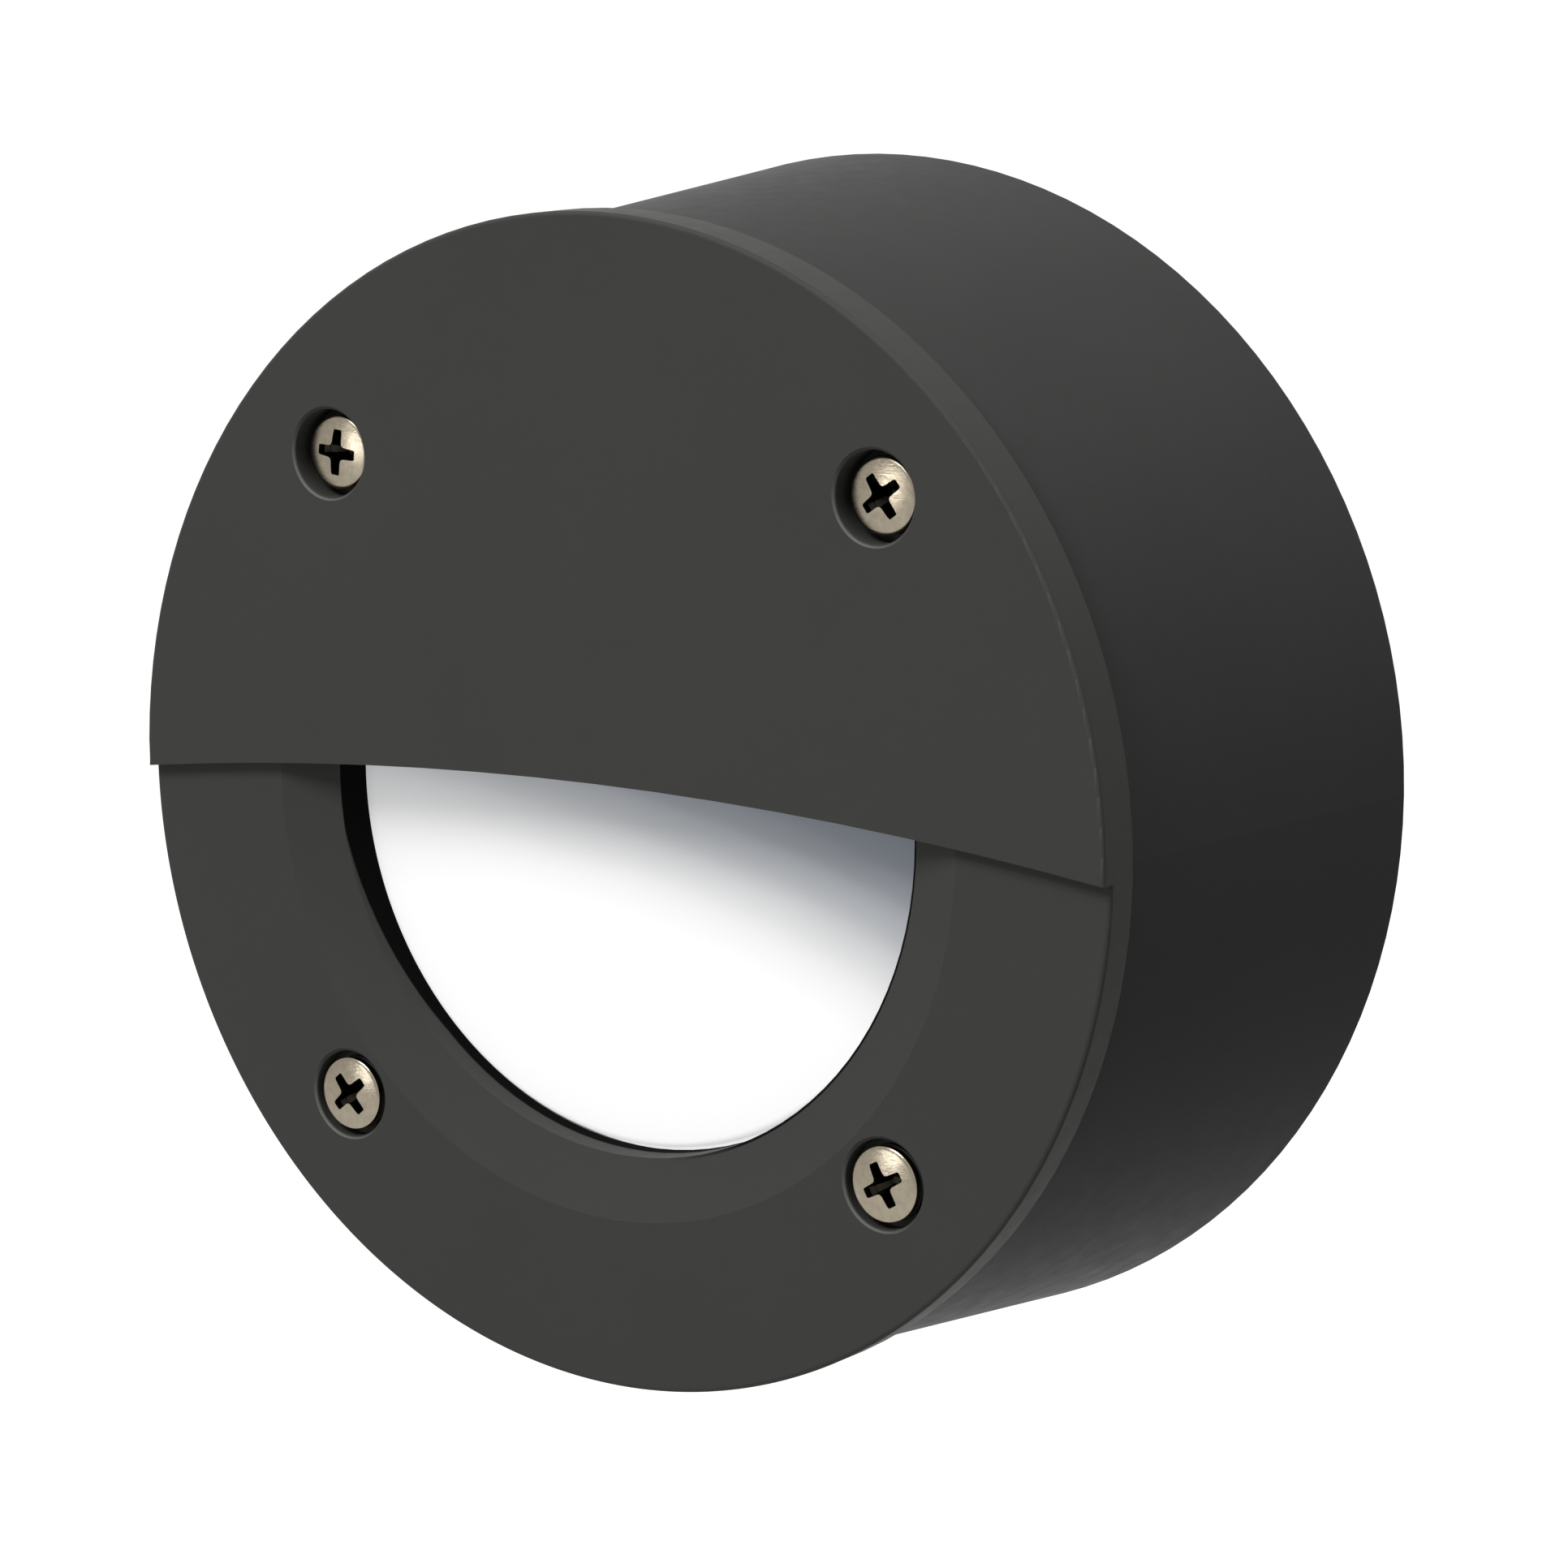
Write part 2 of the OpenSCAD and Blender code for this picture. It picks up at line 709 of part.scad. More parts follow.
module lead(i, row) {
    path = lead_path(i, row);
    last = len(path) - 1;
    points = [for (n = [0 : last]) each ring_points(path[n], path_direction(path, n), lead_r)];
    sides = [for (n = [0 : last - 1]) for (k = [0 : lead_sides - 1])
        let (
            a = n * lead_sides + k,
            b = n * lead_sides + (k + 1) % lead_sides
        )
        each [[a, b, b + lead_sides], [a, b + lead_sides, a + lead_sides]]];
    start_cap = [for (k = [1 : lead_sides - 2]) [0, k + 1, k]];
    end_cap = [for (k = [1 : lead_sides - 2]) [last * lead_sides, last * lead_sides + k,
        last * lead_sides + k + 1]];
    polyhedron(points = points, faces = concat(sides, start_cap, end_cap));
}

module lead_brown() color("#6b4226") stand() lead(0, 1);

module lead_blue() color("#2f5fa8") stand() lead(1, -1);

// Lamp: hub and body in one moulding, with a pocket for the board in front
module lamp_base() color("#f2f1ee") stand() difference() {
    rotate_extrude() polygon([
        [0, lamp_back - lamp_hub_h],
        [lamp_hub_r - lamp_hub_edge, lamp_back - lamp_hub_h],
        [lamp_hub_r, lamp_back - lamp_hub_h + lamp_hub_edge],
        [lamp_hub_r, lamp_back],
        [lamp_r - lamp_taper, lamp_back],
        [lamp_r, lamp_back + lamp_taper_h],
        [lamp_r, lamp_face],
        [lamp_pocket_r, lamp_face],
        [lamp_pocket_r, lamp_face - lamp_pocket_h],
        [0, lamp_face - lamp_pocket_h]
    ]);
    for (n = [0 : lamp_grip_count - 1]) rotate(360 * n / lamp_grip_count)
        translate([lamp_r + lamp_grip_r - lamp_grip_bite, 0, 0])
            post(lamp_grip_r, lamp_back - cut, lamp_face - lamp_grip_r);
    at_pins() post(pin_neck_r + fit_gap / 2, lamp_back - cut, lamp_back + pin_root_h);
}

module at_pins() {
    for (side = [-1, 1]) translate([side * pin_r, 0, 0]) children();
}

module lamp_pins() color("#c8c9c6") stand() at_pins() rotate_extrude() polygon([
    [0, pin_head_foot],
    [pin_head_r - pin_edge, pin_head_foot],
    [pin_head_r, pin_head_foot + pin_edge],
    [pin_head_r, pin_head_foot + pin_head_h],
    [pin_neck_r, pin_head_foot + pin_head_h],
    [pin_neck_r, lamp_back + pin_root_h],
    [0, lamp_back + pin_root_h]
]);

module led_board() color("#dfe3e6") stand() {
    post(lamp_pocket_r - fit_gap, lamp_face - lamp_pocket_h, board_top);
    for (n = [0 : chip_count - 1]) rotate(360 * n / chip_count)
        translate([chip_ring_r - chip_w / 2, -chip_w / 2, board_top - chip_t])
            cube([chip_w, chip_w, 2 * chip_t]);
}

module lamp_cover() color("#f7f7f4") stand() translate([0, 0, lamp_face]) rotate_extrude() difference() {
    disc_outline(lamp_cover_r, lamp_rim, lamp_cover_edge);
    translate([-cut, -cut])
        square([lamp_cover_r - lamp_cover_lip + cut, lamp_rim - lamp_cover_t + cut]);
}

// Everything under the visor's arched lower edge, or that much above it
module under_visor_edge(raised = 0) {
    translate([0, visor_crown - visor_arc_r, lens_back - cut])
        cylinder(r = visor_arc_r + raised, h = cover_depth + 2 * cut, $fn = wide_arc_facets);
}

// Section of the face plate where its front stands at one height
module cover_outline(front) {
    difference() {
        union() {
            translate([0, front - cover_plate]) square([cover_r, cover_plate]);
            translate([rim_r, joint_z]) square([cover_rim_w, front - joint_z]);
            translate([opening_r, lens_back]) square([lens_wall_r - opening_r, front - lens_back]);
        }
        translate([cover_r - cover_edge, front - cover_edge]) corner_outline(cover_edge);
        translate([opening_r - cut, lens_back - cut])
            square([lens_pocket_r - opening_r + cut, lens_seat - lens_back + cut]);
    }
}

module cover_shell() {
    intersection() {
        rotate_extrude() cover_outline(low_face);
        under_visor_edge(step_wall);
    }
    difference() {
        rotate_extrude() cover_outline(light_depth);
        under_visor_edge();
    }
}

// Post with a web back to the wall round the lens
module ring_post(from, to) {
    post(ring_post_r, from, to);
    translate([lens_wall_r - root - ring_place_r, -ring_post_r, from])
        cube([ring_place_r - lens_wall_r + root, 2 * ring_post_r, to - from]);
}

// Round opening behind the visor, and the sloping dish below it
module opening_cut() {
    post(opening_r, lens_seat - cut, light_depth - cover_plate);
    intersection() {
        union() {
            post(opening_r, lens_seat, light_depth + cut);
            translate([0, 0, low_face - dish_depth])
                cylinder(r1 = opening_r, r2 = dish_r, h = dish_depth);
            post(dish_r, low_face, light_depth + cut);
        }
        under_visor_edge();
    }
}

module plate_ribs() {
    for (n = [0 : plate_rib_count - 1]) rotate(360 * (n + 0.5) / plate_rib_count)
        translate([lens_wall_r - root, -plate_rib_w / 2, joint_z + rib_gap])
            cube([rim_r - lens_wall_r + 2 * root, plate_rib_w, low_face - joint_z - rib_gap - root]);
}

// Well for the head of a face screw, its mouth broken where it opens in the front
module well(front) {
    rotate_extrude() polygon([
        [0, well_floor],
        [well_r, well_floor],
        [well_r, front - well_edge],
        [well_r + well_edge + cut, front + cut],
        [0, front + cut]
    ]);
}

module cover() color("#3d3d3b") stand() difference() {
    union() {
        cover_shell();
        plate_ribs();
        tube(gasket_r + tongue_w / 2, gasket_r - tongue_w / 2, joint_z - tongue_h, joint_z + root);
        at_screws() {
            post(well_r + well_wall, joint_z + post_gap, low_face - root);
            post(cover_post_r, cover_post_end, joint_z + 2 * root);
        }
        at_ring_screws() ring_post(lens_back, low_face - root);
    }
    opening_cut();
    for (i = [0 : len(screw_angles) - 1]) at_screw(i) well(well_fronts[i]);
    at_screws() post(shank_hole_r, cover_post_end - cut, well_floor + cut);
    at_ring_screws() post(ring_screw_r + thread_gap, lens_back - cut,
        lens_back - lens_ring_t + ring_screw_l + root);
}

module diffuser() color("#f4f7fb") stand() rotate_extrude() difference() {
    union() {
        translate([0, lens_back]) square([lens_flange_r, lens_t]);
        translate([0, lens_back]) disc_outline(lens_plateau_r, lens_front - lens_back, lens_edge);
    }
    translate([-cut, lens_back - cut])
        square([lens_plateau_r - lens_wall_t + cut, lens_front - lens_t - lens_back + cut]);
}

module diffuser_seal() color("#cfcfca") stand()
    tube(lens_flange_r, opening_r + shank_gap, lens_flange_front, lens_seat);

module diffuser_ring() color("#d8d8d4") stand() difference() {
    union() {
        post(lens_wall_r, lens_back - lens_ring_t, lens_back);
        at_ring_screws() ring_post(lens_back - lens_ring_t, lens_back);
    }
    post(ring_hole_r, lens_back - lens_ring_t - cut, lens_back + cut);
    at_ring_screws() post(ring_screw_r + shank_gap, lens_back - lens_ring_t - cut, lens_back + cut);
}

module ring_screws() color("#b9bcc0") stand() at_ring_screws() translate([0, 0, lens_back - lens_ring_t]) {
    post(ring_screw_r, -root, ring_screw_l);
    mirror([0, 0, 1]) crossed_head(ring_head_r, ring_head_h);
}

// Sealing washer under the head of a face screw
module sealing_washer(i) color("#2b2b2b") stand() at_screw(i) rotate_extrude() polygon([
    [screw_r + fit_gap, well_floor],
    [screw_r + washer_w, well_floor],
    [screw_r + washer_w, head_seat - washer_edge],
    [screw_r + washer_w - washer_edge, head_seat],
    [screw_r + fit_gap, head_seat]
]);

// Cross recess: four wings and a deeper middle
module cross_recess() {
    for (turn = [0, 90]) rotate(turn) translate([-recess_w / 2, -recess_wing / 2, head_top - recess_depth])
        cube([recess_w, recess_wing, recess_depth + cut]);
    translate([0, 0, head_top - recess_middle])
        cylinder(r1 = recess_tip_r, r2 = recess_wing, h = recess_middle);
    post(recess_wing, head_top, head_top + cut);
}

module face_screw(i) color("#a9a293") stand() at_screw(i) difference() {
    union() {
        rotate_extrude() polygon([
            [0, screw_tip],
            [screw_r - screw_tip_edge, screw_tip],
            [screw_r, screw_tip + screw_tip_edge],
            [screw_r, head_seat + root],
            [0, head_seat + root]
        ]);
        translate([0, 0, head_seat]) pan_head(head_d / 2, head_h);
    }
    rotate(recess_turns[i] - screw_angles[i]) cross_recess();
}

module washer_upper_left() sealing_washer(0);
module washer_upper_right() sealing_washer(1);
module washer_lower_left() sealing_washer(2);
module washer_lower_right() sealing_washer(3);

module screw_upper_left() face_screw(0);
module screw_upper_right() face_screw(1);
module screw_lower_left() face_screw(2);
module screw_lower_right() face_screw(3);

housing();
wall_gasket();
cable_grommet();
threaded_inserts();
cover_gasket();
terminal_block();
terminal_clamps();
terminal_screws();
terminal_fixing_screw();
lampholder_base();
lampholder_body();
lampholder_contacts();
lampholder_screws();
lead_brown();
lead_blue();
lamp_base();
lamp_pins();
led_board();
lamp_cover();
cover();
diffuser();
diffuser_seal();
diffuser_ring();
ring_screws();
washer_upper_left();
washer_upper_right();
washer_lower_left();
washer_lower_right();
screw_upper_left();
screw_upper_right();
screw_lower_left();
screw_lower_right();
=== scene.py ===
"""Looks of the round visored wall light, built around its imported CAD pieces.

Everything is in metres. Seen from the front, x is to the right, z is up, the wall is y = 0 and
the light stands out towards -y.
"""

import json
import math

import bmesh
import bpy
from mathutils import Matrix, Vector


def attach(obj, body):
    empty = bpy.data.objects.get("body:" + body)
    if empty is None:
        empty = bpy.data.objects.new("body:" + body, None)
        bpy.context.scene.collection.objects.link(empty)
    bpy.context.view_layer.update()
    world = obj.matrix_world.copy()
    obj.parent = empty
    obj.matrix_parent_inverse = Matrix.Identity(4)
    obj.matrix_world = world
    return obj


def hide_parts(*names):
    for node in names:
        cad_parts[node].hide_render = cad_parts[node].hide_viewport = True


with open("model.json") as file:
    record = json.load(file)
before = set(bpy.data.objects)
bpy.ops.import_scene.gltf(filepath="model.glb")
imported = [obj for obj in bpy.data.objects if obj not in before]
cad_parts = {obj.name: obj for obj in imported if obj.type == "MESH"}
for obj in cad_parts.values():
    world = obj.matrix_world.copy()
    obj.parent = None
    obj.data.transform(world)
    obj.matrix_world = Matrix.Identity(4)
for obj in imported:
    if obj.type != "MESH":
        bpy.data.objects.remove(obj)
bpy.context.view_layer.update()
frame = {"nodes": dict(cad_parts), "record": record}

# Places and sizes that the looks share with the construction

SCREW_OFFSET = 0.0353553
SCREW_PLACES = {
    "upper_left": (-SCREW_OFFSET, SCREW_OFFSET, -6),
    "upper_right": (SCREW_OFFSET, SCREW_OFFSET, 36),
    "lower_left": (-SCREW_OFFSET, -SCREW_OFFSET, 41),
    "lower_right": (SCREW_OFFSET, -SCREW_OFFSET, 29),
}
SCREW_HEAD_SEAT = 0.0534
SCREW_TIP = 0.0414
RIM_RADIUS = 0.0625
RIM_EDGE = 0.0005
LOW_FACE = 0.0546

WELD = 0.000002
QUARTER_TURN = 90
FULL_TURN = 360


# Small builders for the materials

def feed(tree, value, socket):
    """Sets a socket to a number, or links it to what another node gives."""
    if isinstance(value, (int, float)):
        socket.default_value = value
    else:
        tree.links.new(value, socket)


def node(tree, kind, **settings):
    made = tree.nodes.new(kind)
    for key, value in settings.items():
        setattr(made, key, value)
    return made


def math_node(tree, operation, first, second=None, third=None, clamp=False):
    made = node(tree, "ShaderNodeMath", operation=operation, use_clamp=clamp)
    for slot, value in enumerate((first, second, third)):
        if value is not None:
            feed(tree, value, made.inputs[slot])
    return made.outputs[0]


def add(tree, first, second):
    return math_node(tree, "ADD", first, second)


def subtract(tree, first, second):
    return math_node(tree, "SUBTRACT", first, second)


def multiply(tree, first, second):
    return math_node(tree, "MULTIPLY", first, second)


def object_place(tree):
    return node(tree, "ShaderNodeTexCoord").outputs["Object"]


def split_place(tree, place):
    split = node(tree, "ShaderNodeSeparateXYZ")
    tree.links.new(place, split.inputs[0])
    return split.outputs["X"], split.outputs["Y"], split.outputs["Z"]


def noise(tree, vector, scale, detail, roughness):
    made = node(tree, "ShaderNodeTexNoise")
    tree.links.new(vector, made.inputs["Vector"])
    for label, value in (("Scale", scale), ("Detail", detail), ("Roughness", roughness)):
        feed(tree, value, made.inputs[label])
    return made.outputs["Fac"]


def about_middle(tree, value):
    """Moves a noise's range from 0 and 1 to a half below and above zero."""
    return subtract(tree, value, 0.5)


def scaled_colour(tree, colour, factor):
    made = node(tree, "ShaderNodeVectorMath", operation="SCALE")
    tree.links.new(colour, made.inputs[0])
    feed(tree, factor, made.inputs["Scale"])
    return made.outputs[0]


def bumps(tree, height, strength, depth):
    made = node(tree, "ShaderNodeBump")
    made.inputs["Distance"].default_value = depth
    feed(tree, strength, made.inputs["Strength"])
    tree.links.new(height, made.inputs["Height"])
    return made.outputs[0]


def ramp_between(tree, value, stretch, at_first, at_last):
    """Runs from one level to another while the value crosses a stretch."""
    made = node(tree, "ShaderNodeMapRange")
    tree.links.new(value, made.inputs["Value"])
    for label, number in (("From Min", stretch[0]), ("From Max", stretch[1]),
            ("To Min", at_first), ("To Max", at_last)):
        made.inputs[label].default_value = number
    return made.outputs[0]


def distance(tree, first, second):
    return math_node(tree, "SQRT", add(tree, multiply(tree, first, first), multiply(tree, second, second)))


def seen_directly(tree):
    """One for what the camera sees itself or through a mirror or glass, and zero for other light."""
    rays = node(tree, "ShaderNodeLightPath").outputs
    return math_node(tree, "MAXIMUM", rays["Is Camera Ray"],
        math_node(tree, "MAXIMUM", rays["Is Glossy Ray"], rays["Is Transmission Ray"]))


# Skins that several finishes share

FLOW_SIZE = 38.0
FLOW_TONE = 1.4
SPECK_SIZE = 420.0
SPECK_TONE = 0.8
SPECK_ROUGHNESS = 0.16
GRAIN_HEIGHT = 0.00006
SCRATCH_SIZE = 1400.0
SCRATCH_STRETCH = (1.0, 1.0, 9.0)
SCRATCH_LEAN = (0.0, 0.7, 0.0)
SCRATCH_ROUGHNESS = 0.3
SCRATCH_HEIGHT = 0.00004
MOTTLE_TONE = 0.5


def new_skin(name, numbers):
    """Node group that takes a colour and some numbers, and gives colour, roughness and normal."""
    group = bpy.data.node_groups.new(name, "ShaderNodeTree")
    group.interface.new_socket("Colour", in_out="INPUT", socket_type="NodeSocketColor")
    for label in (*numbers, "Roughness"):
        group.interface.new_socket(label, in_out="INPUT", socket_type="NodeSocketFloat")
    for label, kind in (("Colour", "Color"), ("Roughness", "Float"), ("Normal", "Vector")):
        group.interface.new_socket(label, in_out="OUTPUT", socket_type="NodeSocket" + kind)
    return group, group.nodes.new("NodeGroupInput").outputs, group.nodes.new("NodeGroupOutput").inputs


def close_skin(group, given, out, tone, roughness, normal):
    group.links.new(scaled_colour(group, given["Colour"], tone), out["Colour"])
    group.links.new(roughness, out["Roughness"])
    group.links.new(normal, out["Normal"])
    return group


def moulded_skin():
    """Fine spark-eroded grain of a moulding, with slow changes of tone."""
    group, given, out = new_skin("moulded_skin", ("Grain size", "Grain depth", "Tone change"))
    place = object_place(group)
    grain = noise(group, place, given["Grain size"], detail=2.0, roughness=0.6)
    flow = about_middle(group, noise(group, place, FLOW_SIZE, detail=3.0, roughness=0.55))
    speck = about_middle(group, noise(group, place, SPECK_SIZE, detail=2.0, roughness=0.5))
    change = add(group, multiply(group, flow, FLOW_TONE), multiply(group, speck, SPECK_TONE))
    tone = math_node(group, "MULTIPLY_ADD", change, given["Tone change"], 1.0)
    roughness = math_node(group, "MULTIPLY_ADD", speck, SPECK_ROUGHNESS, given["Roughness"])
    return close_skin(group, given, out, tone, roughness,
        bumps(group, grain, given["Grain depth"], GRAIN_HEIGHT))


def worked_metal():
    """Small scratches and mottling of a pressed or turned metal piece."""
    group, given, out = new_skin("worked_metal", ("Mottle size", "Scratch depth"))
    place = object_place(group)
    mottle = about_middle(group, noise(group, place, given["Mottle size"], detail=3.0, roughness=0.55))
    stretch = node(group, "ShaderNodeMapping")
    stretch.inputs["Scale"].default_value = SCRATCH_STRETCH
    stretch.inputs["Rotation"].default_value = SCRATCH_LEAN
    group.links.new(place, stretch.inputs["Vector"])
    scratch = noise(group, stretch.outputs[0], SCRATCH_SIZE, detail=3.0, roughness=0.6)
    tone = math_node(group, "MULTIPLY_ADD", mottle, MOTTLE_TONE, 1.0)
    roughness = math_node(group, "MULTIPLY_ADD", about_middle(group, scratch), SCRATCH_ROUGHNESS,
        given["Roughness"])
    return close_skin(group, given, out, tone, roughness,
        bumps(group, scratch, given["Scratch depth"], SCRATCH_HEIGHT))


MOULDED_SKIN = moulded_skin()
WORKED_METAL = worked_metal()
RESIN_DEPTH = 0.002


def material(name):
    made = bpy.data.materials.new(name)
    made.use_nodes = True
    return made, made.node_tree, made.node_tree.nodes["Principled BSDF"]


def set_sockets(holder, values):
    for label, value in values.items():
        holder.inputs[label].default_value = value


def skinned(name, skin, colour, numbers):
    made, tree, shader = material(name)
    cover = node(tree, "ShaderNodeGroup", node_tree=skin)
    set_sockets(cover, {"Colour": (*colour, 1.0), **numbers})
    for label, target in (("Colour", "Base Color"), ("Roughness", "Roughness"), ("Normal", "Normal")):
        tree.links.new(cover.outputs[label], shader.inputs[target])
    return made, shader


def moulding(name, colour, roughness, grain, size, change, specular, translucent=0.0):
    made, shader = skinned(name, MOULDED_SKIN, colour, {
        "Grain size": size, "Grain depth": grain, "Tone change": change, "Roughness": roughness})
    set_sockets(shader, {"Specular IOR Level": specular})
    if translucent:
        set_sockets(shader, {"Subsurface Weight": translucent, "Subsurface Scale": RESIN_DEPTH})
    return made


def metal(name, colour, roughness, scratch, size):
    made, shader = skinned(name, WORKED_METAL, colour, {
        "Mottle size": size, "Scratch depth": scratch, "Roughness": roughness})
    set_sockets(shader, {"Metallic": 1.0})
    return made


# Lit opal lens, with the shade that the visor leaves on it

DEEPEST_SHADE = (0.125, 0.135, 0.15)
FULL_LIGHT = (0.98, 0.98, 0.98)
LENS_SHADES = (
    (0.10, (0.16, 0.18, 0.20)),
    (0.24, (0.22, 0.235, 0.26)),
    (0.37, (0.325, 0.34, 0.365)),
    (0.55, (0.53, 0.54, 0.555)),
    (0.75, (0.81, 0.81, 0.81)),
)
SHADE_TOP = 0.0017
SHADE_TOP_BOW = -1.05
SHADE_REACH = 0.015
SHADE_REACH_SLOPE = 0.17
SHADE_REACH_BOW = 4.0
LIGHT_AT_TOP = 0.315
LIGHT_AT_TOP_SLOPE = -7.5
CLOUD_SIZE = 55.0
CLOUD_LIGHT = 0.04
LENS_COLOUR_SHARE = 0.45
LENS_GLOW = 0.65
RIPPLE_SIZE = 700.0
RIPPLE_STRENGTH = 0.05
RIPPLE_HEIGHT = 0.00005


def opal_lens():
    """Lit opal plastic: white below, and blue grey where the visor keeps it in the shade."""
    made, tree, shader = material("opal_lens")
    place = object_place(tree)
    across, _, up = split_place(tree, place)
    square = multiply(tree, across, across)
    top = math_node(tree, "MULTIPLY_ADD", square, SHADE_TOP_BOW, SHADE_TOP)
    reach = math_node(tree, "MULTIPLY_ADD", square, SHADE_REACH_BOW,
        math_node(tree, "MULTIPLY_ADD", across, SHADE_REACH_SLOPE, SHADE_REACH))
    below = math_node(tree, "DIVIDE", subtract(tree, top, up), reach)
    start = math_node(tree, "MULTIPLY_ADD", across, LIGHT_AT_TOP_SLOPE, LIGHT_AT_TOP, clamp=True)
    rest = subtract(tree, 1.0, start)
    cloud = about_middle(tree, noise(tree, place, CLOUD_SIZE, detail=2.0, roughness=0.5))
    lit = add(tree, math_node(tree, "MULTIPLY_ADD", below, rest, start), multiply(tree, cloud, CLOUD_LIGHT))
    ramp = node(tree, "ShaderNodeValToRGB")
    ramp.color_ramp.interpolation = "CARDINAL"
    stops = ramp.color_ramp.elements
    stops[0].position, stops[0].color = 0.0, (*DEEPEST_SHADE, 1.0)
    stops[1].position, stops[1].color = 1.0, (*FULL_LIGHT, 1.0)
    for position, colour in LENS_SHADES:
        stops.new(position).color = (*colour, 1.0)
    tree.links.new(lit, ramp.inputs[0])
    tree.links.new(scaled_colour(tree, ramp.outputs[0], LENS_COLOUR_SHARE), shader.inputs["Base Color"])
    tree.links.new(ramp.outputs[0], shader.inputs["Emission Color"])
    ripple = noise(tree, place, RIPPLE_SIZE, detail=2.0, roughness=0.5)
    tree.links.new(bumps(tree, ripple, RIPPLE_STRENGTH, RIPPLE_HEIGHT), shader.inputs["Normal"])
    set_sockets(shader, {"Roughness": 0.45, "Specular IOR Level": 0.1, "Emission Strength": LENS_GLOW})
    return made


# Painted shade and highlights on the face plate, and painted shade in the screw heads' recesses

# Painted shade on the wall and lip round the lens opening
WALL_RADII = (0.03775, 0.03782)
WALL_DEPTHS = (-0.0527, -0.0524)
WALL_PAINTED_SHADE = 0.96
LOW_DOWN = (-0.005, -0.028)
LOW_DEPTH = -0.0029
LIP_RADII = (0.03795, 0.03802)
LIP_PAINTED_SHADE = 0.9
LIP_SIDE = (0.006, 0.016)
LIP_START = (-0.0530, -0.0526)
LIP_END = (-0.05215, -0.0520)
# Painted highlight on the lower left of each screw well's mouth
MOUTH_START = (0.00486, 0.00492)
MOUTH_END = (0.00506, 0.00512)
MOUTH_SIDE_SLOPE = -140.0
MOUTH_PAINTED_HIGHLIGHT = 1.7
RIM_BAND = (0.06235, 0.0624)
RIM_DARK = 0.17
# Painted shade deep in the screw recesses
RECESS_RADII = (0.0026, 0.0027)
RECESS_DEPTHS = (-0.05445, -0.0541)
RECESS_PAINTED_SHADE = 0.92


def from_screw(tree, value):
    """Distance along one axis from the line of screws on the same side, with its sign."""
    return subtract(tree, value, multiply(tree, math_node(tree, "SIGN", value), SCREW_OFFSET))


def shade_of_face(tree, x, y, z):
    """Painted shade on the lens's wall and lip, a darker rim, and painted highlights on the wells' mouths.
    """
    radius = distance(tree, x, z)
    inside = ramp_between(tree, radius, WALL_RADII, 1.0, 0.0)
    depth = math_node(tree, "MULTIPLY_ADD", ramp_between(tree, z, LOW_DOWN, 0.0, 1.0), LOW_DEPTH, y)
    # Painted shade on the opening's wall, narrowing towards the bottom
    wall_shade = multiply(tree, inside, ramp_between(tree, depth, WALL_DEPTHS, 0.0, WALL_PAINTED_SHADE))
    # Painted dark line of shade on the lip round the lens, on its right side only
    front = multiply(tree, ramp_between(tree, y, LIP_START, 0.0, 1.0),
        ramp_between(tree, y, LIP_END, 1.0, 0.0))
    lip_shade = multiply(tree, ramp_between(tree, radius, LIP_RADII, LIP_PAINTED_SHADE, 0.0),
        ramp_between(tree, x, LIP_SIDE, 0.0, 1.0))
    # All painted shade round the lens
    painted_shade = math_node(tree, "MAXIMUM", wall_shade, multiply(tree, lip_shade, front))
    right, above = from_screw(tree, x), from_screw(tree, z)
    reach = distance(tree, right, above)
    # Painted highlight on the lower left side of each screw well's mouth
    mouth = multiply(tree, ramp_between(tree, reach, MOUTH_START, 0.0, 1.0),
        ramp_between(tree, reach, MOUTH_END, 1.0, 0.0))
    side = math_node(tree, "MULTIPLY", add(tree, right, above), MOUTH_SIDE_SLOPE, clamp=True)
    light = multiply(tree, multiply(tree, mouth, side), MOUTH_PAINTED_HIGHLIGHT)
    dark = add(tree, painted_shade, ramp_between(tree, radius, RIM_BAND, 0.0, RIM_DARK))
    return add(tree, subtract(tree, 1.0, dark), light)


def shade_in_recess(tree, x, y, z):
    """Painted shade in the cross recesses of the four face screws, darker deeper in."""
    across = subtract(tree, math_node(tree, "ABSOLUTE", x), SCREW_OFFSET)
    along = subtract(tree, math_node(tree, "ABSOLUTE", z), SCREW_OFFSET)
    inside = ramp_between(tree, distance(tree, across, along), RECESS_RADII, 1.0, 0.0)
    deep = ramp_between(tree, y, RECESS_DEPTHS, 0.0, RECESS_PAINTED_SHADE)
    return subtract(tree, 1.0, multiply(tree, inside, deep))


def shade(made, shade_of, dull=False):
    """Scales a finish's colour by painted shade and highlights worked out from each point's place.
    With dull, the dark places also lose their gloss."""
    tree = made.node_tree
    shader = tree.nodes["Principled BSDF"]
    level = shade_of(tree, *split_place(tree, object_place(tree)))
    colour = shader.inputs["Base Color"].links[0].from_socket
    tree.links.new(scaled_colour(tree, colour, level), shader.inputs["Base Color"])
    if dull:
        rough = shader.inputs["Roughness"].links[0].from_socket
        darkness = subtract(tree, 1.0, level)
        tree.links.new(math_node(tree, "MAXIMUM", rough, darkness), shader.inputs["Roughness"])


# Finishes by slot: colour, roughness, depth and size of the grain, change of tone, gloss, translucency

